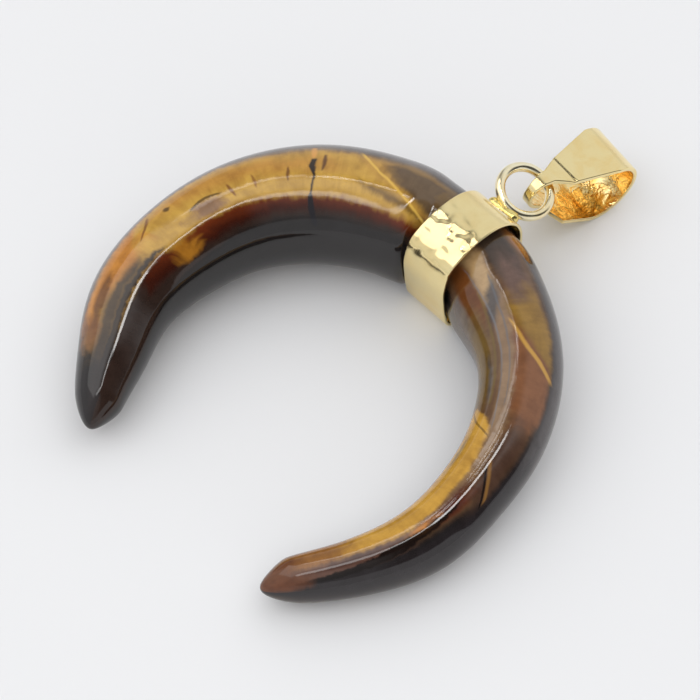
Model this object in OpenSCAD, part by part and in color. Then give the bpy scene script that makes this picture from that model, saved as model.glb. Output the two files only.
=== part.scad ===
// Crescent pendant lying on a table: a bent, tapering stone horn held at its middle by a
// thin metal band, with a wire ring soldered to the band and a folded strip bail on the ring.
// Units are millimetres. The floor is z = 0 and the bail points along +Y.

/* [Stone crescent] */
// Radius of the bend that the stone follows
bend_r = 18.5; // [17.5:0.1:19.5]
// Sides of the stone's round section
stone_sides = 24; // [16:2:32]
// Degrees of bend between two sections of the stone
stone_step = 3.3; // [3:0.1:5]
// Degrees of bend over which each horn's tip rounds off
tip_span = 8.5; // [6:0.5:9]

/* [Band] */
// Length of the band along the stone
band_len = 5; // [4.4:0.1:5.2]
// Thickness of the band's sheet metal
band_wall = 0.3; // [0.2:0.05:0.35]
// Distance of the band's centre from the centre of the bend
band_out = 18.7; // [18.65:0.01:18.75]
// Distance of the band's centre towards the thin horn
band_side = 0.55; // [0.4:0.05:0.7]
// Turn of the band away from square across the stone, in degrees
band_turn = -1.5; // [-3:0.1:0]

/* [Ring] */
// Radius of the ring, to the middle of its wire
ring_r = 2.4; // [2.3:0.05:2.5]
// Thickness of the ring's wire
wire_d = 0.9; // [0.7:0.05:1]
// Distance from the centre of the bend out to the middle of the ring
ring_out = 27; // [26.8:0.05:27.1]
// Distance of the middle of the ring towards the thin horn
ring_side = 0.25; // [0.1:0.05:0.5]
// Height of the middle of the ring above the plane of the bend
ring_up = 0.8; // [0.4:0.1:1.2]
// Tilt of the ring away from the stone, in degrees
ring_lift = -7; // [-8:0.5:0]
// Roll of the ring down towards the thin horn, in degrees
ring_roll = 22; // [14:0.5:24]
// Radius of the solder between the band and the ring
solder_r = 0.62; // [0.55:0.01:0.7]
// Length of the solder along the band
solder_len = 2.2; // [1.6:0.1:2.4]

/* [Bail] */
// Thickness of the bail's strip
strip = 0.42; // [0.3:0.02:0.46]
// Outside radius of the narrow bend that holds the ring
eye_r = 1.75; // [1.7:0.01:1.8]
// Outside radius of the wide bend that a chain runs through
channel_r = 3.4; // [3.1:0.05:3.5]
// Distance between the centres of the two bends
bail_reach = 6.5; // [6.2:0.1:6.6]
// Half the width of the strip at the wide bend
strip_half = 2.7; // [2.4:0.05:2.8]
// Distance from the wire back to the centre of the narrow bend
eye_back = 0.42; // [0.38:0.01:0.45]
// Distance from the wire down to the centre of the narrow bend
eye_down = 0.64; // [0.6:0.01:0.66]
// Place of the bail on the ring, in degrees round from the outermost point
bail_place = 21; // [18:0.5:24]
// Turn of the bail about the upright, in degrees
bail_turn = 7; // [4:0.5:10]
// Slope of the bail below the plane of the bend, in degrees
bail_drop = 24.7; // [20:0.1:24.7]
// Roll of the bail about its own length, in degrees
bail_roll = 5; // [3:0.5:7]

/* [Resting pose] */
// Rise of the plane of the bend towards the bail, in degrees
lean_back = 4.72; // [4.5:0.01:6]
// Fall of the plane of the bend towards the thin horn, in degrees
lean_side = 2.03; // [1.5:0.01:3]
// Height of the centre of the bend above the floor
seat_h = 3.828; // [3.828:0.001:4.1]
// Place of the centre of the bend across, from the middle of the footprint
seat_x = 0.74; // [0:0.01:2]
// Place of the centre of the bend along, from the middle of the footprint
seat_y = -10.98; // [-12:0.01:-10]

/* [Hidden] */
smooth = 72;

// The stone, a row for each station along it
// turn: degrees round the bend from the band, negative towards the thick horn
// radius: radius of the round section
// shift: distance of the section's centre outside the circle of the bend
// belly: how far the low inner side swells beyond the radius
STONE = [
    [-148.2, 1.31, 0.48, 0],
    [-141, 2.08, -0.5, 0],
    [-125, 3.1, -1.29, 0],
    [-104, 3.97, -0.8, 0],
    [-83, 4.65, -0.65, 0],
    [-62, 5.1, -0.2, 0],
    [-42, 5.4, -0.05, 0],
    [-23, 5.3, 0.05, 0.15],
    [-14, 5.1, 0.3, 0.5],
    [-8.5, 4.38, 0.66, 0.8],
    [1, 4.3, 0.36, 0.85],
    [12, 4.14, 0.36, 1.05],
    [21, 4.15, -0.05, 0.85],
    [41, 3.7, -0.15, 0.25],
    [61, 3.4, -0.55, 0],
    [82, 3.05, -0.8, 0],
    [102, 2.88, -0.36, 0],
    [123, 2.38, -0.24, 0],
    [138, 1.93, 0.33, 0],
    [145.3, 1.3, 1.4, 0]
];
TURN = 0;
RADIUS = 1;
SHIFT = 2;
BELLY = 3;
turn_a = STONE[0][TURN];
turn_b = STONE[len(STONE) - 1][TURN];

// The bail's strip, a row for each place outwards from the narrow bend
// place: distance from the centre of the narrow bend
// left, right: how far the strip's edges lie from its middle line, in shares of strip_half
// FRONT is the flank that faces up, BACK the flank that faces down
FRONT = [
    [-3, 0.1, 0.1],
    [0.2, 0.34, 0.22],
    [1.7, 0.58, 0.6],
    [6.2, 1, 1],
    [11, 1, 1]
];
BACK = [
    [-3, 0.1, 0.1],
    [0.2, 0.34, 0.22],
    [0.9, 0.4, 0.6],
    [1.7, 0.6, 1],
    [2.6, 1, 1],
    [11, 1, 1]
];
PLACE = 0;
LEFT = 1;
RIGHT = 2;

// The band's section, a row for each direction round its centre
// angle: degrees from straight outwards, by the top
// reach: distance of the sheet's outer face
BAND = [
    [0, 4.95],
    [30, 5.15],
    [60, 5.2],
    [90, 5.2],
    [120, 5.5],
    [135, 5.7],
    [155, 5.3],
    [183, 4.95],
    [205, 5.3],
    [228, 6.15],
    [250, 5.4],
    [270, 4.95],
    [300, 5.15],
    [330, 5.2],
    [360, 4.95]
];
ANGLE = 0;
REACH = 1;
band_points = 72;

// Slope of a column at a row, from the rows on both sides of it
function row_slope(table, i, col) =
    let (a = max(i - 1, 0), b = min(i + 1, len(table) - 1))
    (table[b][col] - table[a][col]) / (table[b][0] - table[a][0]);

// The row that starts the stretch holding a place
function row_at(table, place) =
    max([for (i = [0:len(table) - 2]) table[i][0] <= place ? i : 0]);

// A column of a table at any place, as a smooth curve through the rows
function column(table, place, col) =
    let (
        i = row_at(table, place),
        span = table[i + 1][0] - table[i][0],
        u = (place - table[i][0]) / span,
        a = table[i][col],
        b = table[i + 1][col],
        sa = row_slope(table, i, col) * span,
        sb = row_slope(table, i + 1, col) * span
    )
    a * (2 * u ^ 3 - 3 * u ^ 2 + 1) + sa * (u ^ 3 - 2 * u ^ 2 + u)
    + b * (3 * u ^ 2 - 2 * u ^ 3) + sb * (u ^ 3 - u ^ 2);

// Share of the section's radius left where a tip rounds off
function tip_share(turn) =
    let (room = min(turn - turn_a, turn_b - turn) / tip_span)
    room >= 1 ? 1 : sqrt(max(0, 1 - (1 - room) ^ 2));

function stone_radius(turn) = max(0.02, column(STONE, turn, RADIUS) * tip_share(turn));
function stone_centre(turn) = (bend_r + column(STONE, turn, SHIFT)) * [sin(turn), cos(turn), 0];

// Turns of the sections: close together where a tip rounds off, even between
tip_rings = 6;
tip_turns = [for (k = [0:tip_rings - 1]) tip_span * (1 - cos(90 * k / tip_rings))];
mid_rings = ceil((turn_b - turn_a - 2 * tip_span) / stone_step);
stone_turns = concat(
    [for (t = tip_turns) turn_a + t],
    [for (k = [0:mid_rings]) turn_a + tip_span + (turn_b - turn_a - 2 * tip_span) * k / mid_rings],
    [for (k = [tip_rings - 1:-1:0]) turn_b - tip_turns[k]]
);

// Direction of the belly round the section, and how tightly it is gathered there
belly_dir = 222;
belly_tight = 8;
function belly_share(a) = max(0, cos(a - belly_dir)) ^ belly_tight;

// Degrees of bend on each side over which the centre line's heading is taken
heading_span = 6;

// One section: points round the centre, square to the centre line
function stone_section(turn) =
    let (
        ahead = stone_centre(min(turn + heading_span, turn_b)),
        behind = stone_centre(max(turn - heading_span, turn_a)),
        along = (ahead - behind) / norm(ahead - behind),
        out = [-along[1], along[0], 0],
        radius = stone_radius(turn),
        belly = column(STONE, turn, BELLY)
    )
    [for (k = [0:stone_sides - 1])
        let (
            a = 360 * k / stone_sides,
            reach = radius + belly * belly_share(a)
        )
        stone_centre(turn) + reach * (cos(a) * out + sin(a) * [0, 0, 1])];

// The plane of the bend, laid on the floor as the pendant rests
module laid() {
    translate([seat_x, seat_y, seat_h])
        rotate([lean_back, lean_side, 0])
            children();
}

// The stone: one skin over all its sections
module crescent() {
    last = len(stone_turns) - 1;
    n = stone_sides;
    points = [for (t = stone_turns) each stone_section(t)];
    faces = concat(
        [[for (k = [0:n - 1]) k]],
        [for (s = [0:last - 1], k = [0:n - 1])
            [s * n + k, (s + 1) * n + k, (s + 1) * n + (k + 1) % n, s * n + (k + 1) % n]],
        [[for (k = [n - 1:-1:0]) last * n + k]]
    );
    color("saddlebrown")
        laid()
            polyhedron(points = points, faces = faces, convexity = 6);
}

// The frame of the band: X along the stone, Y outwards
module at_band() {
    translate([band_side, band_out, 0])
        rotate([0, 0, band_turn])
            children();
}

// Outline of the band's section, drawn smaller by inset
module band_section(inset) {
    polygon([
        for (k = [0:band_points - 1])
            let (a = 360 * k / band_points)
            (column(BAND, a, REACH) - inset) * [cos(a), sin(a)]
    ]);
}

// The band's section drawn out along the stone
module band_length(inset, length) {
    rotate([90, 0, 90])
        translate([0, 0, -length / 2])
            linear_extrude(height = length)
                band_section(inset);
}

// The frame of the ring: its centre, with X across it and Y outwards
module at_ring() {
    translate([ring_side, ring_out, ring_up])
        rotate([ring_lift, ring_roll, 0])
            children();
}

// The wire ring
module ring() {
    at_ring()
        rotate_extrude($fn = smooth)
            translate([ring_r, 0])
                circle(d = wire_d, $fn = 32);
}

// The solder that seats the ring on the band: a round-ended bar between the two
module solder() {
    seat = (band_out + BAND[0][REACH] + ring_out - ring_r) / 2;
    translate([ring_side, seat, ring_up])
        for (side = [-1, 1]) {
            translate([side * solder_len / 2, 0, 0])
                sphere(r = solder_r, $fn = 32);
            rotate([0, 90 * side, 0])
                cylinder(r = solder_r, h = solder_len / 2, $fn = 32);
        }
}

// The sheet metal band round the stone, with its ring soldered on
module cap_band() {
    color("gold")
        laid()
            difference() {
                union() {
                    at_band()
                        band_length(0, band_len);
                    ring();
                    solder();
                }
                at_band()
                    band_length(band_wall, band_len + 2);
            }
}

// Side outline of the bail, two bends joined by straight flanks, drawn smaller by inset
module bail_side(inset) {
    small = eye_r - inset;
    large = channel_r - inset;
    lean = asin((channel_r - eye_r) / bail_reach);
    up = [-sin(lean), cos(lean)];
    down = [-sin(lean), -cos(lean)];
    far = [bail_reach, 0];
    seam = 45;
    // Each circle starts at an angle, so that its seam is clear of the plane between the flanks
    rotate(seam)
        circle(r = small, $fn = smooth);
    translate(far)
        rotate(seam)
            circle(r = large, $fn = smooth);
    polygon([small * up, small * down, far + large * down, far + large * up]);
}

// Plan outline of a flank from its table
module flank_plan(table) {
    polygon(concat(
        [for (row = table) [strip_half * row[RIGHT], row[PLACE]]],
        [for (k = [len(table) - 1:-1:0]) [-strip_half * table[k][LEFT], table[k][PLACE]]]
    ));
}

// The bail in its own frame: X through the channel, Y from the ring outwards
module bail_form() {
    tall = channel_r + 1;
    wide = 4 * strip_half;
    intersection() {
        rotate([90, 0, 90])
            translate([0, 0, -wide / 2])
                linear_extrude(height = wide)
                    difference() {
                        bail_side(0);
                        bail_side(strip);
                    }
        union() {
            linear_extrude(height = tall)
                flank_plan(FRONT);
            mirror([0, 0, 1])
                linear_extrude(height = tall)
                    flank_plan(BACK);
        }
    }
}

// The frame at the ring's wire where the bail hangs, level with the plane of the bend
module at_wire() {
    at_ring()
        translate([ring_r * sin(bail_place), ring_r * cos(bail_place), 0])
            rotate([-ring_lift, 0, 0])
                rotate([0, -ring_roll, 0])
                    children();
}

// The bail, held by the ring's wire and leaning down to the floor
module bail() {
    color("goldenrod")
        laid()
            at_wire()
                rotate([0, 0, -bail_turn])
                    rotate([-bail_drop, 0, 0])
                        rotate([0, bail_roll, 0])
                            translate([0, -eye_back, -eye_down])
                                bail_form();
}

crescent();
cap_band();
bail();
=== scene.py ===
# The crescent pendant: its dressed pieces, their materials, and the photograph's floor, light and camera
import math

import bmesh
import bpy
import numpy as np
from mathutils import Matrix, Vector, noise


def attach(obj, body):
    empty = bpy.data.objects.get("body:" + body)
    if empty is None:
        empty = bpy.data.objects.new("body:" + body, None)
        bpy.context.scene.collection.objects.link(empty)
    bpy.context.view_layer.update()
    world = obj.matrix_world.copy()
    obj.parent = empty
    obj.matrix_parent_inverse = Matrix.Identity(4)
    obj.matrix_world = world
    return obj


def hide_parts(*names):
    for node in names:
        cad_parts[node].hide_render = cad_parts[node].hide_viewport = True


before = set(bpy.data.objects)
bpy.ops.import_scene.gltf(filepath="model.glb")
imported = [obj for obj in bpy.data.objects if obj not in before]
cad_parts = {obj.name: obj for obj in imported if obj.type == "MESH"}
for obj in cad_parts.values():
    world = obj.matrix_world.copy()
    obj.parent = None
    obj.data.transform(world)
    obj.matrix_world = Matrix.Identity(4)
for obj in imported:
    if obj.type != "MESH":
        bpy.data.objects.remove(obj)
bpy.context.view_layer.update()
MM = 0.001

# Sizes in mm and degrees, with the names and values of part.scad
bend_r = 18.5           # radius of the bend that the stone follows
tip_span = 8.5          # turn over which each horn's tip rounds off
belly_dir = 222         # section angle at which the stone's belly stands out most
belly_tight = 8         # how narrow the belly is
heading_span = 6        # turn on each side over which the stone's heading is taken
band_len = 5            # along the stone
band_wall = 0.3         # thickness of the sheet
band_out = 18.7         # centre of the band from the centre of the bend
band_side = 0.55        # and towards the thin horn
band_turn = -1.5        # away from square across the stone
ring_r = 2.4            # to the middle of the wire
wire_d = 0.9
ring_out = 27           # middle of the ring from the centre of the bend
ring_side = 0.25        # towards the thin horn
ring_up = 0.8           # above the plane of the bend
ring_lift = -7          # tilt away from the stone
ring_roll = 22          # roll down towards the thin horn
solder_r = 0.62
solder_len = 2.2        # along the band
strip = 0.42            # thickness of the bail's strip
eye_r = 1.75            # outside radius of the narrow bend that holds the ring
channel_r = 3.4         # outside radius of the wide bend that a chain runs through
bail_reach = 6.5        # between the centres of the two bends
strip_half = 2.7        # half the width of the strip at the wide bend
eye_back = 0.42         # from the wire back to the centre of the narrow bend
eye_down = 0.64         # from the wire down to it
bail_place = 21         # place of the bail on the ring, round from the outermost point
bail_turn = 7           # about the upright
bail_drop = 24.7        # slope below the plane of the bend
bail_roll = 5           # about its own length
lean_back = 4.72        # rise of the plane of the bend towards the bail
lean_side = 2.03        # fall of the plane of the bend towards the thin horn
seat = (0.74, -10.98, 3.828)    # centre of the bend, from the middle of the footprint on the floor

# turn along the bend, radius of the section, shift of its centre outwards, swell of the belly
STONE = [
    (-148.2, 1.31, 0.48, 0), (-141, 2.08, -0.5, 0), (-125, 3.1, -1.29, 0), (-104, 3.97, -0.8, 0),
    (-83, 4.65, -0.65, 0), (-62, 5.1, -0.2, 0), (-42, 5.4, -0.05, 0), (-23, 5.3, 0.05, 0.15),
    (-14, 5.1, 0.3, 0.5), (-8.5, 4.38, 0.66, 0.8), (1, 4.3, 0.36, 0.85), (12, 4.14, 0.36, 1.05),
    (21, 4.15, -0.05, 0.85), (41, 3.7, -0.15, 0.25), (61, 3.4, -0.55, 0), (82, 3.05, -0.8, 0),
    (102, 2.88, -0.36, 0), (123, 2.38, -0.24, 0), (138, 1.93, 0.33, 0), (145.3, 1.3, 1.4, 0),
]
# the bail's two flanks: place outwards from the narrow bend, left and right share of strip_half
FRONT = [(-3, 0.1, 0.1), (0.2, 0.34, 0.22), (1.7, 0.58, 0.6), (6.2, 1, 1), (11, 1, 1)]
BACK = [(-3, 0.1, 0.1), (0.2, 0.34, 0.22), (0.9, 0.4, 0.6), (1.7, 0.6, 1), (2.6, 1, 1), (11, 1, 1)]
# angle from straight outwards by the top, reach of the sheet's outer face
BAND = [
    (0, 4.95), (30, 5.15), (60, 5.2), (90, 5.2), (120, 5.5), (135, 5.7), (155, 5.3), (183, 4.95),
    (205, 5.3), (228, 6.15), (250, 5.4), (270, 4.95), (300, 5.15), (330, 5.2), (360, 4.95),
]


def column(table, place, col):
    """A column of a table at any place, as a smooth curve through the rows."""
    last = len(table) - 1
    i = max([k for k in range(last) if table[k][0] <= place], default=0)

    def slope(k):
        a, b = max(k - 1, 0), min(k + 1, last)
        return (table[b][col] - table[a][col]) / (table[b][0] - table[a][0])

    span = table[i + 1][0] - table[i][0]
    u = (place - table[i][0]) / span
    return (table[i][col] * (2 * u**3 - 3 * u**2 + 1) + slope(i) * span * (u**3 - 2 * u**2 + u)
            + table[i + 1][col] * (3 * u**2 - 2 * u**3) + slope(i + 1) * span * (u**3 - u**2))


def share(table, place, col):
    """A column of a table at any place, straight between the rows."""
    return float(np.interp(place, [r[0] for r in table], [r[col] for r in table]))


# Frames, as in part.scad
def turned(x, y, z):
    """rotate([x, y, z]) in degrees."""
    rot = [Matrix.Rotation(math.radians(v), 4, axis) for v, axis in ((x, "X"), (y, "Y"), (z, "Z"))]
    return rot[2] @ rot[1] @ rot[0]


def moved(x, y, z):
    """translate([x, y, z])."""
    return Matrix.Translation((x, y, z))


laid = Matrix.Scale(MM, 4) @ moved(*seat) @ turned(lean_back, lean_side, 0)
at_band = laid @ moved(band_side, band_out, 0) @ turned(0, 0, band_turn)
at_ring = laid @ moved(ring_side, ring_out, ring_up) @ turned(ring_lift, ring_roll, 0)
at_solder = laid @ moved(ring_side, (band_out + BAND[0][1] + ring_out - ring_r) / 2, ring_up)
place_rad = math.radians(bail_place)
at_bail = (at_ring @ moved(ring_r * math.sin(place_rad), ring_r * math.cos(place_rad), 0)
           @ turned(-ring_lift, 0, 0) @ turned(0, -ring_roll, 0) @ turned(0, 0, -bail_turn)
           @ turned(-bail_drop, 0, 0) @ turned(0, bail_roll, 0) @ moved(0, -eye_back, -eye_down))

# Mesh helpers
UV_NAME = "along"


def outward(mesh):
    """Faces turned outwards all over."""
    bm = bmesh.new()
    bm.from_mesh(mesh)
    bmesh.ops.recalc_face_normals(bm, faces=bm.faces)
    bm.to_mesh(mesh)
    bm.free()


def add_mesh(name, points, faces, uvs, place):
    """A smooth-shaded object from points in mm, put in place; uvs has each face's corner pairs, if any."""
    mesh = bpy.data.meshes.new(name)
    mesh.from_pydata([tuple(place @ Vector(p)) for p in points], [], faces)
    if uvs:
        layer = mesh.uv_layers.new(name=UV_NAME)
        for k, uv in enumerate(uv for face_uv in uvs for uv in face_uv):
            layer.data[k].uv = uv
    mesh.validate()
    for p in mesh.polygons:
        p.use_smooth = True
    outward(mesh)
    obj = bpy.data.objects.new(name, mesh)
    bpy.context.scene.collection.objects.link(obj)
    return obj


def tube(rings, closed, uv=None):
    """Points, faces and corner UVs of equal rings in a row; closed joins the last ring to the first."""
    n, m = len(rings), len(rings[0])
    points = [p for ring in rings for p in ring]
    faces, uvs = [], []
    for i in range(n if closed else n - 1):
        for j in range(m):
            a, b = (i + 1) % n, (j + 1) % m
            faces.append((i * m + j, a * m + j, a * m + b, i * m + b))
            if uv:
                uvs.append((uv(i, j), uv(i + 1, j), uv(i + 1, j + 1), uv(i, j + 1)))
    return points, faces, uvs


# The stone
STONE_SIDES = 96
TIP_RINGS = 22          # over each rounded tip
MID_RINGS = 280         # between the tips
TIP_RADIUS = 0.004      # of the first and the last ring, in mm
turn_a, turn_b = STONE[0][0], STONE[-1][0]


def stone_centre(turn):
    """The middle of the stone's section at one turn along the bend."""
    reach = bend_r + column(STONE, turn, 2)
    a = math.radians(turn)
    return np.array([reach * math.sin(a), reach * math.cos(a), 0.0])


def stone_section(turn):
    """The points round the stone at one turn along the bend, from its lowest point on."""
    ahead = stone_centre(min(turn + heading_span, turn_b))
    behind = stone_centre(max(turn - heading_span, turn_a))
    along = (ahead - behind) / np.linalg.norm(ahead - behind)
    out = np.array([-along[1], along[0], 0.0])
    up = np.array([0.0, 0.0, 1.0])
    room = min(turn - turn_a, turn_b - turn) / tip_span
    rounding = 1 if room >= 1 else math.sqrt(max(0, 1 - (1 - room) ** 2))
    radius = max(TIP_RADIUS, column(STONE, turn, 1) * rounding)
    belly = column(STONE, turn, 3)
    centre = stone_centre(turn)
    ring = []
    for k in range(STONE_SIDES):
        a = 2 * math.pi * k / STONE_SIDES - math.pi / 2
        reach = radius + belly * max(0, math.cos(a - math.radians(belly_dir))) ** belly_tight
        ring.append(centre + reach * (math.cos(a) * out + math.sin(a) * up))
    return ring


tips = [tip_span * (1 - math.cos(math.pi / 2 * k / TIP_RINGS)) for k in range(TIP_RINGS)]
middle = turn_b - turn_a - 2 * tip_span
stone_turns = ([turn_a + t for t in tips]
               + [turn_a + tip_span + middle * k / MID_RINGS for k in range(MID_RINGS + 1)]
               + [turn_b - t for t in reversed(tips)])


def turn_uv(turn, j):
    """The stone's UV pair: turn along the bend, and place round the section from its lowest point."""
    return (turn / 360 + 0.5, j / STONE_SIDES)


points, faces, uvs = tube([stone_section(t) for t in stone_turns], False,
                          lambda i, j: turn_uv(stone_turns[i], j))
for start, turn in ((0, turn_a), (len(points) - STONE_SIDES, turn_b)):
    faces.append(tuple(range(start, start + STONE_SIDES)))
    uvs.append(tuple(turn_uv(turn, j) for j in range(STONE_SIDES)))
stone = add_mesh("stone", points, faces, uvs, laid)


# The band
def rounded_wall(half, wall, radius, steps=4, flat=24):
    """Points round a sheet's own section, as (across, depth below the outer face), with rounded corners."""
    corners = []
    for cx, cy, a0 in ((half - radius, radius, -90), (half - radius, wall - radius, 0),
                       (-half + radius, wall - radius, 90), (-half + radius, radius, 180)):
        for k in range(steps + 1):
            a = math.radians(a0 + 90 * k / steps)
            corners.append((cx + radius * math.cos(a), cy + radius * math.sin(a)))
    full = []
    for a, b in zip(corners, corners[1:] + corners[:1]):
        n = flat if abs(a[0] - b[0]) > half else 1
        full += [tuple(np.array(a) + (np.array(b) - np.array(a)) * k / n) for k in range(n)]
    return full


BAND_STEPS = 240        # round the band
BAND_EDGE = 0.12        # radius of the sheet's rounded edges, in mm
PROBE = 0.5             # degrees on each side over which the sheet's slope is taken
HAMMERED = 113          # angle of the middle of the hammered crest
HAMMERED_SPREAD = 24
DENT_FADE = 0.1         # depth in the sheet over which a dent dies out
DENT_MARGIN = 0.35      # and the width of the calm edge
BULGE = 0.03            # the most that the hammered face stands proud


def dent(angle, across):
    """How far the band's outer face is pressed in, in mm: hammered and creased along its crest."""
    crest = math.exp(-((angle - HAMMERED) / HAMMERED_SPREAD) ** 2)
    wave = noise.noise(Vector((across * 1.1 + 3.1, angle * 0.10, 4.2)))
    fine = noise.noise(Vector((across * 1.9 - 1.3, angle * 0.16, 9.7)))
    return crest * (0.20 * wave + 0.09 * fine) + 0.012 * wave


def band_section(angle):
    """The points round the sheet at one angle round the band."""
    here = math.radians(angle)
    reach = column(BAND, angle % 360, 1)
    ahead = column(BAND, (angle + PROBE) % 360, 1)
    behind = column(BAND, (angle - PROBE) % 360, 1)
    slope = (ahead - behind) / math.radians(2 * PROBE)
    radial = np.array([0, math.cos(here), math.sin(here)])
    side = np.array([0, -math.sin(here), math.cos(here)])
    normal = radial * reach - side * slope
    normal /= np.linalg.norm(normal)
    section = []
    for x, depth in rounded_wall(band_len / 2, band_wall, BAND_EDGE):
        calm = max(0, 1 - depth / DENT_FADE) * min(1, (band_len / 2 - abs(x)) / DENT_MARGIN)
        press = max(dent(angle, x) * calm, -BULGE)
        section.append(np.array([x, 0, 0]) + radial * reach - normal * (depth + press))
    return section


band_sections = [band_section(360 * k / BAND_STEPS) for k in range(BAND_STEPS)]
band = add_mesh("band", *tube(band_sections, True), at_band)

# The ring and its solder
RING_STEPS = 160
RING_SIDES = 40
SOLDER_STEPS = 64
SOLDER_SIDES = 48
SOLDER_WAIST = 0.42     # half the length of the solder's waist, in mm
SOLDER_END = 0.9995     # share of the solder's half length at its end rings, which keep a width so


def ring_section(around):
    """The points round the wire at one step round the ring, a little uneven."""
    a = 2 * math.pi * around / RING_STEPS
    out = np.array([math.sin(a), math.cos(a), 0.0])
    section = []
    for j in range(RING_SIDES):
        b = 2 * math.pi * j / RING_SIDES
        r = wire_d / 2 * (1 + 0.02 * noise.noise(Vector((math.sin(a) * 3, math.cos(a) * 3, b))))
        section.append(out * (ring_r + r * math.cos(b)) + np.array([0, 0, r * math.sin(b)]))
    return section


def solder_section(x):
    """The points round a rough bar with a lump at each foot, where the ring's wire meets the band."""
    end = max(0.0, abs(x) - solder_len / 2)
    waist = 1 - 0.16 * math.exp(-(x / SOLDER_WAIST) ** 2)
    r = math.sqrt(max(1e-6, solder_r**2 - end**2)) * waist
    section = []
    for j in range(SOLDER_SIDES):
        b = 2 * math.pi * j / SOLDER_SIDES
        d = Vector((x * 1.6, math.cos(b) * 1.3, math.sin(b) * 1.3))
        lumps = abs(noise.noise(d * 1.7 + Vector((5, 2, 8))))
        grain = abs(noise.noise(d * 5))
        rough = 1 - 0.12 * lumps - 0.05 * grain
        section.append(np.array([x, r * rough * math.cos(b), r * rough * math.sin(b)]))
    return section


ring = add_mesh("ring", *tube([ring_section(k) for k in range(RING_STEPS)], True), at_ring)

reach = solder_len / 2 + solder_r
solder_places = [-reach * math.cos(math.pi * k / SOLDER_STEPS) * SOLDER_END
                 for k in range(SOLDER_STEPS + 1)]
points, faces, uvs = tube([solder_section(x) for x in solder_places], False)
for start in (0, len(points) - SOLDER_SIDES):
    faces.append(tuple(range(start, start + SOLDER_SIDES)))
solder = add_mesh("solder", points, faces, uvs, at_solder)

# The bail
BAIL_STEP = 0.07        # along the strip, in mm
BAIL_EDGE = 0.13        # radius of the strip's rounded edges, in mm
BAIL_FLAT = 14          # faces across the strip
CREASE_AT = 1.62        # outwards from the narrow bend, in mm
CREASE_WIDTH = 0.2
bail_wall = rounded_wall(1, strip, BAIL_EDGE, flat=BAIL_FLAT)


def bail_path():
    """Points and outward normals round the outside of the bail's side profile, from the eye's top on."""
    lean = math.asin((channel_r - eye_r) / bail_reach)
    near, far = np.array([0.0, 0.0]), np.array([bail_reach, 0.0])
    up = np.array([-math.sin(lean), math.cos(lean)])
    down = np.array([-math.sin(lean), -math.cos(lean)])
    top = math.atan2(up[1], up[0])
    path = []

    def flank(start, end, normal):
        n = int(np.linalg.norm(end - start) / BAIL_STEP)
        path.extend([(start + (end - start) * k / n, normal) for k in range(n)])

    def arc(centre, radius, first, sweep):
        n = int(sweep * radius / BAIL_STEP)
        for k in range(n):
            a = first - sweep * k / n
            normal = np.array([math.cos(a), math.sin(a)])
            path.append((centre + radius * normal, normal))

    flank(near + eye_r * up, far + channel_r * up, up)
    arc(far, channel_r, top, 2 * top)
    flank(far + channel_r * down, near + eye_r * down, down)
    arc(near, eye_r, -top, 2 * math.pi - 2 * top)
    return path


def crease(place, across):
    """How far the bail's front flank is pressed in, in mm: a crease where it narrows, and faint waves."""
    fold = math.exp(-((place - CREASE_AT - 0.06 * across) / CREASE_WIDTH) ** 2)
    wave = noise.noise(Vector((across * 0.5, place * 0.4, 1.7)))
    return 0.08 * fold + 0.03 * wave


def bail_section(at, normal):
    """The points round the strip at one point of its path."""
    front = at[1] > 0
    section = []
    for x, depth in bail_wall:
        place = at[0] - normal[0] * depth
        half = strip_half * share(FRONT if front else BACK, place, 2 if x > 0 else 1)
        # x runs over -1..1, and the corners at its ends keep their size at any width
        if abs(x) > 1 - BAIL_EDGE - 1e-9:
            across = math.copysign(half - (1 - abs(x)), x)
        else:
            across = x / (1 - BAIL_EDGE) * (half - BAIL_EDGE)
        press = crease(at[0], across) if front else 0.0
        y = at - normal * (depth + press * (1 - depth / strip))
        section.append(np.array([across, y[0], y[1]]))
    return section


def depth_uv(i, j):
    """The bail's UV pair: v is 0 on the strip's outer face and 1 on its lining."""
    return (0.5, bail_wall[j % len(bail_wall)][1] / strip)


bail_sections = [bail_section(at, normal) for at, normal in bail_path()]
bail_strip = add_mesh("bail_strip", *tube(bail_sections, True, depth_uv), at_bail)


# Materials
CURVE_RANGE = 800.0     # a curve's results lie within half of it on each side of 0


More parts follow.
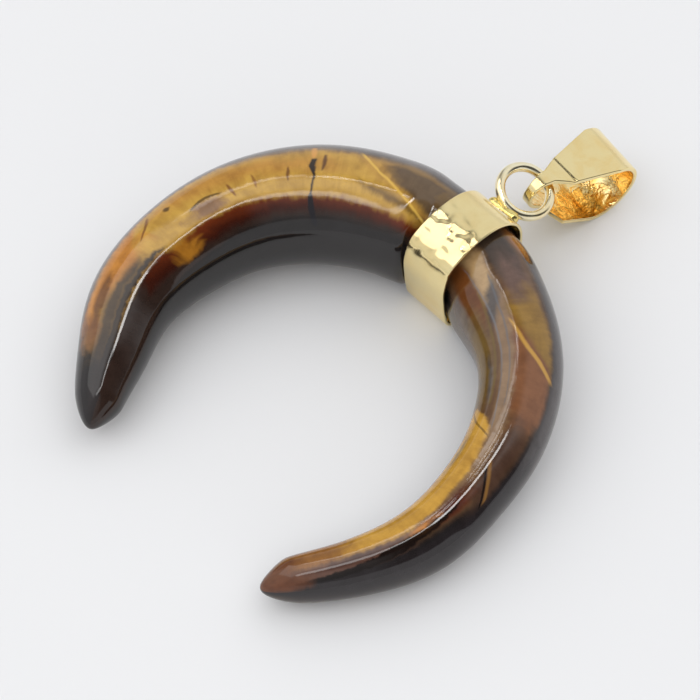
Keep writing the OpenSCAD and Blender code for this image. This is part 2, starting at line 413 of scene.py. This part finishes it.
class Nodes:
    """Short names for building a node tree."""

    def __init__(self, tree):
        self.tree = tree

    def node(self, kind, **values):
        n = self.tree.nodes.new(kind)
        for k, v in values.items():
            setattr(n, k, v)
        return n

    def put(self, socket, value):
        if isinstance(value, bpy.types.NodeSocket):
            self.tree.links.new(value, socket)
        elif isinstance(value, (tuple, list)) and len(value) == 3 and socket.type == "RGBA":
            socket.default_value = (*value, 1)
        else:
            socket.default_value = value

    def math(self, op, *values):
        n = self.node("ShaderNodeMath", operation=op)
        for socket, v in zip(n.inputs, values):
            self.put(socket, v)
        return n.outputs[0]

    def add(self, a, b):
        return self.math("ADD", a, b)

    def sub(self, a, b):
        return self.math("SUBTRACT", a, b)

    def mul(self, a, b):
        return self.math("MULTIPLY", a, b)

    def step(self, value, low, high):
        """0 below low, 1 above high, smooth between; low may be above high."""
        n = self.node("ShaderNodeMapRange", interpolation_type="SMOOTHSTEP")
        self.put(n.inputs["Value"], value)
        self.put(n.inputs["From Min"], low)
        self.put(n.inputs["From Max"], high)
        return n.outputs["Result"]

    def curve(self, value, span, rows, col):
        """A smooth curve through a column of rows, over their first column, for values inside span."""
        low, high = span
        share_of_span = self.math("DIVIDE", self.sub(value, low), high - low)
        n = self.node("ShaderNodeFloatCurve")
        self.put(n.inputs["Value"], share_of_span)
        line = n.mapping.curves[0]
        while len(line.points) < len(rows):
            line.points.new(0.5, 0.5)
        for p, row in zip(line.points, rows):
            p.location = ((row[0] - low) / (high - low), row[col] / CURVE_RANGE + 0.5)
            p.handle_type = "AUTO_CLAMPED"
        n.mapping.use_clip = False
        n.mapping.update()
        return self.mul(self.sub(n.outputs[0], 0.5), CURVE_RANGE)

    def noise(self, vector, scale, detail=3.0, rough=0.5, distort=0.0):
        n = self.node("ShaderNodeTexNoise")
        self.put(n.inputs["Vector"], vector)
        values = (("Scale", scale), ("Detail", detail), ("Roughness", rough), ("Distortion", distort))
        for k, v in values:
            n.inputs[k].default_value = v
        return n.outputs["Fac"]

    def xyz(self, x, y, z=0.0):
        n = self.node("ShaderNodeCombineXYZ")
        for socket, v in zip(n.inputs, (x, y, z)):
            self.put(socket, v)
        return n.outputs[0]

    def split(self, vector):
        n = self.node("ShaderNodeSeparateXYZ")
        self.put(n.inputs[0], vector)
        return n.outputs

    def coords(self, kind):
        return self.node("ShaderNodeTexCoord").outputs[kind]

    def uv(self):
        return self.node("ShaderNodeUVMap", uv_map=UV_NAME).outputs[0]

    def in_mm(self, place=(0, 0, 0), rotation=(0, 0, 0)):
        """The object's own coordinates in mm, measured from a place and along turned axes."""
        body = self.coords("Object")
        n = self.node("ShaderNodeMapping", vector_type="TEXTURE")
        self.put(n.inputs["Vector"], body)
        self.put(n.inputs["Location"], [v * MM for v in place])
        self.put(n.inputs["Rotation"], rotation)
        self.put(n.inputs["Scale"], (MM, MM, MM))
        return n.outputs[0]

    def mix(self, fac, a, b, blend="MIX"):
        """A mix of two colours, which are the node's sockets 6 and 7, with its colour result at 2."""
        n = self.node("ShaderNodeMix", data_type="RGBA", blend_type=blend)
        self.put(n.inputs[0], fac)
        self.put(n.inputs[6], a)
        self.put(n.inputs[7], b)
        return n.outputs[2]

    def bump(self, height):
        """The normal of a surface with a relief, in mm."""
        n = self.node("ShaderNodeBump")
        self.put(n.inputs["Strength"], 1.0)
        self.put(n.inputs["Distance"], MM)
        self.put(n.inputs["Height"], height)
        return n.outputs[0]


class Material(Nodes):
    """A new material with its Principled shader."""

    def __init__(self, name):
        self.mat = bpy.data.materials.new(name)
        self.mat.use_nodes = True
        super().__init__(self.mat.node_tree)
        self.shader = self.tree.nodes["Principled BSDF"]

    def set(self, **values):
        for k, v in values.items():
            self.put(self.shader.inputs[k.replace("_", " ")], v)

    def surface(self, shader):
        self.put(self.tree.nodes["Material Output"].inputs["Surface"], shader)


def seen(red, green, blue):
    """A colour as it looks under the studio light, 0..255, as a base colour."""
    return tuple((v / 255) ** 2.2 / 1.05 for v in (red, green, blue))


# The pattern of the stone, with some painted reflection among its bands, painted in this order over a
# near-black ground.
# Zones: colour, strength, softness of the edge, fray of the edge, then rows of turn, from angle, to angle.
ZONES = [
    # the two horns as a whole
    ((182, 140, 66), 1.0, 5, 2, [(-129, 40, 106), (-90, 44, 110), (-44, 58, 116), (-6, 62, 122)]),
    ((104, 78, 56), 1.0, 6, 2, [(2, 46, 152), (30, 46, 182), (60, 48, 178), (84, 56, 168),
                                (100, 70, 158), (120, 66, 152), (146, 56, 150)]),
    # painted reflection of the floor: pale to dark grey low on the outer flanks, where the polish mirrors it
    ((112, 106, 106), 0.75, 6, 2, [(-118, 6, 44), (-71, 6, 58), (-5, 6, 62)]),
    ((80, 75, 76), 0.85, 6, 2, [(2, -5, 40), (40, -10, 42), (74, -10, 42)]),
    ((44, 40, 42), 0.85, 6, 2, [(70, -15, 44), (110, -15, 58), (142, -10, 54)]),
    # the thick horn, inner side: brown stripes between the crest and the inner rim
    ((52, 40, 35), 1.0, 3, 3, [(-150, 98, 168), (-129, 101, 156), (-105, 108, 149), (-85, 106, 141),
                               (-48, 112, 136), (-20, 114, 137), (-5, 118, 150)]),
    ((58, 24, 13), 0.95, 3, 3, [(-106, 110, 130), (-85, 110, 130), (-48, 112, 130), (-18, 115, 132),
                                (-5, 118, 145)]),
    ((112, 52, 26), 0.8, 5, 5, [(-98, 106, 119), (-60, 108, 119), (-40, 112, 122), (-18, 114, 128),
                                (-6, 118, 140)]),
    ((170, 115, 40), 0.9, 2, 4, [(-93, 112, 131), (-90, 110, 133), (-85, 113, 130)]),
    # the thick horn, outer side
    ((44, 38, 38), 0.9, 4, 4, [(-146, 68, 92), (-120, 72, 95), (-98, 84, 100)]),
    ((34, 30, 30), 0.9, 5, 3, [(-146, 28, 70), (-127, 30, 72)]),
    ((124, 86, 56), 1.0, 3, 5, [(-128, 28, 70), (-122, 24, 72), (-116, 30, 66)]),
    ((190, 128, 58), 1.0, 4, 6, [(-119, 34, 58), (-107, 45, 82), (-85, 48, 88)]),
    ((192, 152, 70), 1.0, 3, 5, [(-96, 62, 104), (-90, 47, 110), (-71, 52, 108), (-60, 62, 112),
                                 (-44, 66, 115), (-34, 66, 116), (-28, 84, 117), (-22, 95, 119),
                                 (-8, 120, 124)]),
    ((98, 66, 44), 0.85, 3, 4, [(-119, 57, 70), (-113, 54, 75), (-107, 60, 72)]),
    ((174, 112, 50), 0.5, 6, 8, [(-88, 50, 70), (-70, 58, 82), (-52, 72, 88), (-36, 76, 92)]),
    ((118, 84, 70), 0.8, 2, 3, [(-81, 91, 104), (-76, 88, 106), (-70, 92, 104)]),
    ((40, 34, 34), 0.95, 1.5, 5, [(-146, 86, 101), (-128, 90, 103), (-110, 94, 104), (-98, 98, 105),
                                  (-93, 101, 103)]),
    ((70, 46, 26), 0.7, 2, 3, [(-28, 98, 104), (-18, 104, 112), (-10, 116, 120)]),
    ((84, 70, 58), 0.9, 3, 4, [(-24, 66, 82), (-16, 66, 97), (-5, 66, 116)]),
    # the thin horn, inner side
    # painted reflection of the floor: a grey veil low on the inner side beside the band
    ((96, 86, 80), 0.9, 4, 4, [(16, 150, 199), (24, 150, 200), (36, 158, 190)]),
    ((108, 66, 36), 1.0, 4, 4, [(8, 126, 152), (20, 122, 152), (30, 120, 150)]),
    ((110, 88, 50), 1.0, 5, 5, [(27, 136, 170), (45, 134, 172), (60, 132, 172)]),
    ((196, 150, 66), 1.0, 3, 6, [(61, 150, 176), (66, 118, 168), (71, 103, 162), (87, 98, 156),
                                 (110, 88, 152), (126, 84, 146)]),
    ((150, 104, 56), 1.0, 5, 6, [(122, 84, 148), (132, 82, 146), (142, 76, 140)]),
    ((104, 90, 44), 0.7, 3, 4, [(72, 139, 145), (78, 136, 148), (84, 139, 145)]),
    # the crest of the thin horn, under the soft reflection
    ((132, 104, 74), 1.0, 3, 4, [(8, 99, 128), (30, 98, 120), (56, 94, 117), (70, 90, 107),
                                 (88, 86, 100), (108, 86, 92)]),
    ((176, 146, 104), 0.85, 3, 4, [(6, 102, 124), (18, 102, 122), (27, 110, 122)]),
    # painted reflection: the grey patches on the crest
    ((58, 56, 60), 0.9, 3, 5, [(20, 101, 108), (26, 103, 121), (33, 118, 128)]),
    ((92, 92, 94), 0.7, 2, 3, [(43, 137, 141), (51, 131, 138), (59, 128, 133)]),
    # the thin horn, outer side
    ((66, 55, 47), 1.0, 3, 4, [(4, 56, 98), (15, 58, 97), (20, 60, 94)]),
    ((102, 80, 72), 0.9, 4, 4, [(15, 58, 88), (22, 58, 90), (29, 62, 92)]),
    ((140, 108, 50), 1.0, 3, 5, [(26, 56, 97), (36, 50, 98), (46, 45, 66), (50, 44, 50)]),
    ((124, 82, 54), 1.0, 3, 5, [(34, 92, 100), (42, 72, 99), (50, 44, 97), (62, 46, 92), (66, 54, 88)]),
    ((78, 58, 48), 1.0, 4, 5, [(66, 50, 84), (78, 50, 82), (90, 50, 74)]),
    ((84, 44, 30), 1.0, 3, 4, [(86, 68, 92), (94, 70, 94), (101, 74, 92)]),
    ((196, 128, 56), 0.9, 2, 4, [(99, 76, 90), (103, 74, 90), (107, 78, 89)]),
    ((98, 72, 62), 1.0, 4, 5, [(107, 66, 94), (124, 60, 90), (139, 56, 80)]),
    ((70, 50, 46), 0.8, 4, 4, [(112, 78, 88), (122, 74, 86), (132, 68, 78)]),
    ((160, 104, 52), 0.85, 3, 3, [(7, 34, 50), (11, 30, 53), (16, 36, 48)]),
    ((24, 19, 18), 0.95, 1.5, 6, [(92, 78, 82), (106, 66, 82), (118, 57, 72), (133, 50, 59), (139, 50, 53)]),
    ((104, 62, 38), 0.9, 4, 4, [(136, 40, 120), (150, 30, 140)]),
]

# Lines along the horn: colour, strength, softness, then rows of turn, angle, half width in degrees.
LINES = [
    # painted reflection: a dark line on the thick horn's inner side, where the mirrored pale floor gives way
    # to the dark room
    ((6, 5, 5), 0.55, 2.4, [(-144, 168, 1), (-129, 157, 1.2), (-110, 152, 1.2), (-98, 146, 1),
                            (-85, 142.5, 1), (-66, 139.5, 0.8), (-48, 137, 0.4), (-36, 136.5, 0)]),
    ((226, 182, 84), 0.8, 1.4, [(-31.5, 62, 2.5), (-26.5, 80, 1.6), (-21.5, 91, 1.5), (-15, 105, 1.5),
                                (-9, 119, 1.5)]),
    ((206, 158, 72), 0.75, 2.2, [(33, 100, 1), (37.5, 92, 2.5), (41, 85, 3), (46, 65, 4), (50, 45, 4)]),
    ((50, 38, 30), 0.7, 1.0, [(-80, 90, 1.2), (-75, 86.5, 1.6), (-70, 90, 1)]),
    ((112, 92, 46), 0.7, 3.0, [(22, 124, 1), (40, 128, 2), (60, 126, 2)]),
    # painted reflection: the grey edges of the soft light's veil on the thin horn's crest
    ((104, 106, 112), 0.6, 1.6, [(12, 128, 0.6), (24, 121, 1), (40, 118.5, 1.2), (58, 114, 1),
                                 (68, 107, 0.5)]),
    ((86, 88, 94), 0.6, 1.4, [(18, 104, 1), (30, 107, 1.4), (45, 106, 1), (60, 102, 0.6)]),
    ((28, 20, 18), 0.55, 1.4, [(62, 157, 1), (66, 142, 3), (70, 112, 3), (71, 105, 1)]),
]

# Cracks, veins and ticks across the horn: colour, strength, softness, then rows of angle, turn, half width.
VEINS = [
    ((26, 24, 30), 0.95, 0.35, [(76, -43.2, 0.7), (86, -43.6, 0.8), (97, -43.2, 0.35), (112, -43.8, 0.3),
                                (118, -44.2, 0.8), (136, -43.6, 1.0), (145, -42.8, 0.6)]),
    ((225, 160, 84), 0.7, 0.5, [(57, -43.4, 0.5), (66, -43.4, 0.8), (75, -43.4, 0.4)]),
    ((110, 62, 34), 0.8, 0.35, [(84, -67.4, 0.2), (92, -67, 0.5), (101, -66.5, 0.2)]),
    ((120, 70, 36), 0.7, 0.3, [(84, -60.2, 0.2), (92, -60, 0.4), (100, -59.8, 0.2)]),
    ((96, 56, 34), 0.8, 0.35, [(84, -50, 0.2), (92, -50.3, 0.45), (100, -50.6, 0.2)]),
    ((80, 50, 34), 0.85, 0.35, [(70, -40.2, 0.3), (80, -40.6, 0.5), (91, -41, 0.2)]),
    ((110, 66, 38), 0.8, 0.5, [(54, -89, 0.3), (64, -91, 0.7), (70, -93, 0.6), (76, -95.4, 0.3)]),
    ((60, 44, 34), 0.8, 0.5, [(63, -84, 0.5), (67, -84, 1.0), (71, -84, 0.4)]),
    ((150, 108, 56), 0.65, 0.7, [(49, 86.9, 0.8), (65, 81.9, 0.9), (83, 76.9, 0.7)]),
    ((26, 20, 18), 0.9, 0.4, [(49, 88.7, 0.5), (65, 83.7, 0.7), (83, 78.7, 0.4)]),
    ((40, 30, 26), 0.7, 0.5, [(31, 17, 0.4), (42, 17.4, 0.9), (51, 15.5, 0.5)]),
]
TURNS = (-150.0, 150.0)         # span of turn that the zones and lines cover
ANGLES = (-90.0, 270.0)         # span of angle that the veins cover
EDGE_SOFT, END_SOFT = 1.9, 1.5  # how much softer than its number a zone's edges and ends are


def stone_material():
    """Banded stone: the named pattern with its painted reflections and painted sheen, over fibre noise,
    under a hard polish.
    """
    m = Material("banded_stone_polished")
    u, v, _ = m.split(m.uv())
    turn = m.mul(m.sub(u, 0.5), 360.0)          # degrees round the bend
    angle = m.sub(m.mul(v, 360.0), 90.0)        # degrees round the section, 90 is up
    here = m.in_mm(seat, (math.radians(lean_back), math.radians(lean_side), 0))

    # fibres cross the horn: fine along the bend, long round the section
    fibre = m.noise(m.xyz(m.mul(turn, 0.5), m.mul(angle, 0.025), 2.0), 1.0, 4.0, 0.55, 0.3)
    wisp = m.noise(m.xyz(m.mul(turn, 0.14), m.mul(angle, 0.05), 7.0), 1.0, 3.0, 0.5, 0.6)
    cloud = m.noise(here, 0.6, 4.0, 0.55, 0.4)
    jag = m.mul(m.sub(fibre, 0.5), 2.0)
    drift = m.mul(m.sub(wisp, 0.5), 1.8)
    ripple = m.add(jag, drift)
    waver = m.mul(m.sub(cloud, 0.5), 3.0)
    swirl = m.mul(m.sub(m.noise(here, 0.45, 3.0, 0.5, 0.8), 0.5), 16.0)

    def within(value, low, high, soft):
        return m.mul(m.step(m.sub(value, low), -soft, soft), m.step(m.sub(high, value), -soft, soft))

    def stroke(value, across, span, rows, soft, end):
        """1 on a line along value, with its middle and half width across it from columns 1 and 2 of rows."""
        centre = m.curve(value, span, rows, 1)
        half = m.curve(value, span, rows, 2)
        gap = m.math("ABSOLUTE", m.sub(across, centre))
        return m.mul(m.step(m.sub(half, gap), -soft, soft), within(value, rows[0][0], rows[-1][0], end))

    # near black where it shows, banded brown underneath
    under = m.math("MAXIMUM", m.step(angle, 25.0, 0.0), m.step(angle, 195.0, 215.0))
    brown = m.step(m.noise(here, 0.35, 4.0, 0.6, 1.2), 0.35, 0.75)
    bands = m.mix(brown, (0.026, 0.016, 0.011), (0.095, 0.055, 0.024))
    colour = m.mix(under, (0.012, 0.010, 0.010), bands)
    for tint, strength, soft, fray, rows in ZONES:
        edge = m.add(angle, m.add(m.mul(ripple, float(fray)), m.mul(swirl, 0.5)))
        low = m.curve(turn, TURNS, rows, 1)
        high = m.curve(turn, TURNS, rows, 2)
        mask = m.mul(within(edge, low, high, EDGE_SOFT * soft),
                     within(m.add(turn, swirl), rows[0][0], rows[-1][0], END_SOFT * soft))
        colour = m.mix(m.mul(mask, strength), colour, seen(*tint))

    # painted sheen: the colour made lighter and darker in soft bands where the fibres would catch the light
    sheen_share = m.add(m.mul(m.step(fibre, 0.3, 0.7), 0.34), m.mul(m.step(wisp, 0.35, 0.65), 0.30))
    sheen_share = m.add(sheen_share, m.mul(m.step(cloud, 0.35, 0.62), 0.36))
    sheen = m.mix(sheen_share, (0.74, 0.68, 0.63), (1.16, 1.15, 1.13))
    colour = m.mix(1.0, colour, sheen, blend="MULTIPLY")

    for tint, strength, soft, rows in LINES:
        mask = stroke(turn, m.add(angle, ripple), TURNS, rows, soft, 1.0)
        colour = m.mix(m.mul(mask, strength), colour, seen(*tint))
    for tint, strength, soft, rows in VEINS:
        mask = stroke(angle, m.add(turn, m.mul(waver, 0.5)), ANGLES, rows, soft, 2.0)
        colour = m.mix(m.mul(mask, strength), colour, seen(*tint))

    # the polish: a hard clear surface with faint waves, fibres in low relief and very fine scratches
    wave = m.noise(here, 0.5, 2.0, 0.4)
    grit = m.noise(here, 14.0, 2.0, 0.5)
    height = m.add(m.add(m.mul(wave, 0.018), m.mul(grit, 0.0006)), m.mul(fibre, 0.004))
    normal = m.bump(height)
    m.set(Base_Color=colour, Roughness=m.add(0.045, m.mul(grit, 0.03)), Normal=normal, IOR=1.54)
    return m.mat


def gold_material(name, base, deep, wave_height, rough, lining=None):
    """Plated metal with faint waves and deeper places; lining is the two tones of a rougher inside, partly
    its own tone and partly painted warm reflection of gold on gold.
    """
    m = Material(name)
    here = m.in_mm()
    cloud = m.noise(here, 0.45, 3.0, 0.55, 0.3)
    wave = m.noise(here, 0.55, 2.0, 0.45, 0.2)
    grit = m.noise(here, 9.0, 4.0, 0.6)
    colour = m.mix(m.step(cloud, 0.35, 0.75), base, deep)
    height = m.add(m.mul(wave, wave_height), m.mul(grit, 0.0010))
    # the lining's deeper orange is partly painted reflection of gold on gold
    if lining:
        inside = m.step(m.split(m.uv())[1], 0.8, 0.98)
        mottle = m.noise(here, 0.9, 3.0, 0.6, 0.5)
        colour = m.mix(inside, colour, m.mix(m.step(mottle, 0.35, 0.65), *lining))
        height = m.add(height, m.mul(m.mul(mottle, inside), 0.16))
    normal = m.bump(height)
    m.set(Base_Color=colour, Roughness=m.add(rough, m.mul(grit, 0.07)), Normal=normal, Metallic=1.0)
    return m.mat


stone.data.materials.append(stone_material())
plate = gold_material("gold_plate_band", (0.96, 0.80, 0.42), (0.93, 0.74, 0.36), 0.026, 0.12)
wire = gold_material("gold_plate_wire", (1.0, 0.92, 0.66), (0.98, 0.80, 0.46), 0.016, 0.14)
lump = gold_material("gold_solder", (0.90, 0.74, 0.28), (0.78, 0.56, 0.16), 0.05, 0.2)
fold = gold_material("gold_plate_bail", (0.96, 0.80, 0.42), (0.94, 0.72, 0.32), 0.012, 0.11,
                     lining=((0.92, 0.58, 0.17), (0.95, 0.76, 0.38)))
for piece, material in ((band, plate), (ring, wire), (solder, lump), (bail_strip, fold)):
    piece.data.materials.append(material)

for piece in (stone, band, ring, solder):
    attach(piece, "pendant")
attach(bail_strip, "bail")
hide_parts("crescent")
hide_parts("cap_band")
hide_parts("bail")


# The floor and the backdrop
def floor_material():
    m = Material("floor_paint")
    tone = m.noise(m.coords("Object"), 3.0)
    colour = m.mix(tone, (0.80, 0.80, 0.81), (0.82, 0.82, 0.825))
    m.set(Base_Color=colour, Roughness=0.7, Specular_IOR_Level=0.2)
    return m.mat


def backdrop_material():
    """Pale paper that shines by itself, so that no light has to reach it."""
    m = Material("backdrop_paper")
    haze = m.noise(m.coords("Object"), 0.4, 2.0)
    paper = m.node("ShaderNodeEmission")
    m.put(paper.inputs["Color"], m.mix(haze, (0.73, 0.73, 0.74), (0.75, 0.75, 0.755)))
    m.surface(paper.outputs[0])
    return m.mat


def unseen(obj, camera=False, glossy=False):
    """A stage piece that only the camera, or only the shine, sees."""
    obj.visible_camera, obj.visible_glossy = camera, glossy
    obj.visible_diffuse = obj.visible_transmission = obj.visible_shadow = False


# Lit panels over the object
def glow_material(name, radiance, half, soft, breaks):
    """An even glow that fades out over soft metres at a plane's edges; breaks cut it into dashes along x."""
    m = Material(name)
    places = m.split(m.coords("Object"))
    mask = None
    for k in (0, 1):
        room = m.sub(half[k], m.math("ABSOLUTE", places[k]))
        edge = m.step(room, 0.0, soft[k])
        mask = edge if mask is None else m.mul(mask, edge)
    if breaks:
        gaps = m.noise(m.xyz(m.mul(places[0], breaks), 1.5), 1.0, 2.0, 0.6)
        mask = m.mul(mask, m.step(gaps, 0.48, 0.56))
    lamp = m.node("ShaderNodeEmission")
    m.put(lamp.inputs["Strength"], radiance)
    clear = m.node("ShaderNodeBsdfTransparent")
    blend = m.node("ShaderNodeMixShader")
    for socket, v in zip(blend.inputs, (mask, clear.outputs[0], lamp.outputs[0])):
        m.put(socket, v)
    m.surface(blend.outputs[0])
    return m.mat


def glow(name, x, y, z, radiance, soft, breaks=0.0):
    """A panel at height z, over x[0] to x[1] and y[0] to y[1] in metres, seen only as a reflection."""
    half = ((x[1] - x[0]) / 2, (y[1] - y[0]) / 2)
    a, b = half
    mesh = bpy.data.meshes.new(name)
    mesh.from_pydata([(-a, -b, 0), (a, -b, 0), (a, b, 0), (-a, b, 0)], [], [(0, 3, 2, 1)])
    obj = bpy.data.objects.new(name, mesh)
    bpy.context.scene.collection.objects.link(obj)
    obj.location = ((x[0] + x[1]) / 2, (y[0] + y[1]) / 2, z)
    mesh.materials.append(glow_material(name, radiance, half, soft, breaks))
    unseen(obj, glossy=True)


FLOOR_R = 4             # metres
bpy.ops.mesh.primitive_circle_add(vertices=96, radius=FLOOR_R, fill_type="NGON", location=(0, 0, 0))
floor = bpy.context.object
floor.name = "floor"
floor.data.materials.append(floor_material())

# a pale surround for the camera alone, just past the floor's edge
bpy.ops.mesh.primitive_uv_sphere_add(segments=64, ring_count=32, radius=FLOOR_R + 0.02, location=(0, 0, 0))
backdrop = bpy.context.object
backdrop.name = "backdrop"
backdrop.data.materials.append(backdrop_material())
unseen(backdrop, camera=True)

# the soft box, with a bright edge on its +X side and a broken one on its +Y side
BOX_UP = 0.22           # metres
BOX_X = (-0.33, 0.020)
BOX_Y = (-0.20, 0.034)
glow("soft_box", BOX_X, BOX_Y, BOX_UP, 1.6, (0.05, 0.03))
glow("tube_side", (0.010, 0.026), (-0.060, 0.062), BOX_UP - 0.001, 7.0, (0.005, 0.02))
glow("tube_cream", (-0.004, 0.034), (-0.140, -0.020), BOX_UP - 0.002, 4.0, (0.012, 0.03))
glow("tube_glint", (0.010, 0.034), (0.006, 0.062), BOX_UP - 0.003, 12.0, (0.005, 0.01))
glow("tube_rear", (-0.160, -0.072), (0.016, 0.036), BOX_UP - 0.001, 3.5, (0.02, 0.008))
glow("dash_far", (-0.076, -0.050), (0.020, 0.038), BOX_UP - 0.002, 10.0, (0.004, 0.003), breaks=520.0)
glow("dash_near", (-0.036, -0.004), (0.022, 0.040), BOX_UP - 0.002, 10.0, (0.004, 0.003), breaks=520.0)


# Distant light
def wide_sun(name, energy, spread, direction):
    """A very wide distant light for the matt part of the picture, not seen as a reflection."""
    sun = bpy.data.lights.new(name, "SUN")
    sun.energy = energy
    sun.angle = math.radians(spread)
    obj = bpy.data.objects.new(name, sun)
    bpy.context.scene.collection.objects.link(obj)
    obj.location = direction
    obj.rotation_euler = (-Vector(direction)).to_track_quat("-Z", "Y").to_euler()
    obj.visible_glossy = False


wide_sun("fill_top", 1.10, 120, (-0.22, 0.12, 1))
wide_sun("fill_front", 1.14, 120, (0.55, -0.75, 0.9))

# The room round the table, in rows: azimuth from +Y towards +X, elevation up to which pale paper
# reaches, radiance of the wall above it in hundredths
ROOM = [
    (-180, 12, 62), (-158, 11, 76), (-105, 11, 76), (-92, 11, 30), (-68, 11, 26), (-55, 11, 62),
    (-20, 11, 76), (37, 10, 80), (51, 6, 10), (59, 5, 3), (67, 5, 3), (83, 24, 3), (108, 24, 3),
    (126, 24, 30), (150, 22, 50), (180, 12, 62),
]
AZIMUTHS = (-180.0, 180.0)
PAPER = 0.72                # radiance of the paper
FAINT = 0.03                # radiance of the ceiling, which the walls have as well
WALL_TOP = (62.0, 76.0)     # elevations between which the walls fade into the ceiling


def world_light():
    world = bpy.data.worlds.new("studio")
    bpy.context.scene.world = world
    world.use_nodes = True
    m = Nodes(world.node_tree)
    back = m.tree.nodes["Background"]
    x, y, z = m.split(m.coords("Generated"))
    azimuth = m.mul(m.math("ARCTAN2", x, y), 180 / math.pi)
    elevation = m.mul(m.math("ARCSINE", z), 180 / math.pi)
    paper_top = m.curve(azimuth, AZIMUTHS, ROOM, 1)
    wall = m.mul(m.curve(azimuth, AZIMUTHS, ROOM, 2), 0.01)
    wall = m.add(m.mul(wall, m.step(elevation, WALL_TOP[1], WALL_TOP[0])), FAINT)
    low = m.step(m.sub(elevation, paper_top), 2.0, -2.0)
    m.put(back.inputs["Strength"], m.add(m.mul(low, PAPER), m.mul(m.sub(1.0, low), wall)))
    m.put(back.inputs["Color"], (0.97, 0.98, 1.0))


world_light()

# The camera, fitted to the photograph in the plane of the bend
VIEW = (48.884, 58.749, -4.164)         # azimuth, elevation, roll in degrees
LOOK = (0.40, 4.76, 0.0)                # the point in the middle of the picture, in mm
DISTANCE = 200.0                        # mm
PICTURE = 700                           # pixels across
FOCAL = 2312.0                          # in the same pixels
SENSOR = 36                             # mm
az, el, roll = (math.radians(v) for v in VIEW)
rear = Vector((math.sin(az) * math.cos(el), -math.cos(az) * math.cos(el), math.sin(el)))
level = Vector((math.cos(az), math.sin(az), 0))
rise = rear.cross(level)
right = math.cos(roll) * level + math.sin(roll) * rise
up = math.cos(roll) * rise - math.sin(roll) * level
spin = turned(lean_back, lean_side, 0).to_3x3()
eye = laid @ (Vector(LOOK) + rear * DISTANCE)
axes = Matrix([spin @ right, spin @ up, spin @ rear]).transposed()
lens = bpy.data.cameras.new("camera")
lens.sensor_width = SENSOR
lens.lens = FOCAL / PICTURE * SENSOR
lens.clip_start = 0.005
camera = bpy.data.objects.new("camera", lens)
bpy.context.scene.collection.objects.link(camera)
camera.matrix_world = Matrix.Translation(eye) @ axes.to_4x4()
bpy.context.scene.camera = camera
bpy.context.scene.view_settings.view_transform = "Standard"
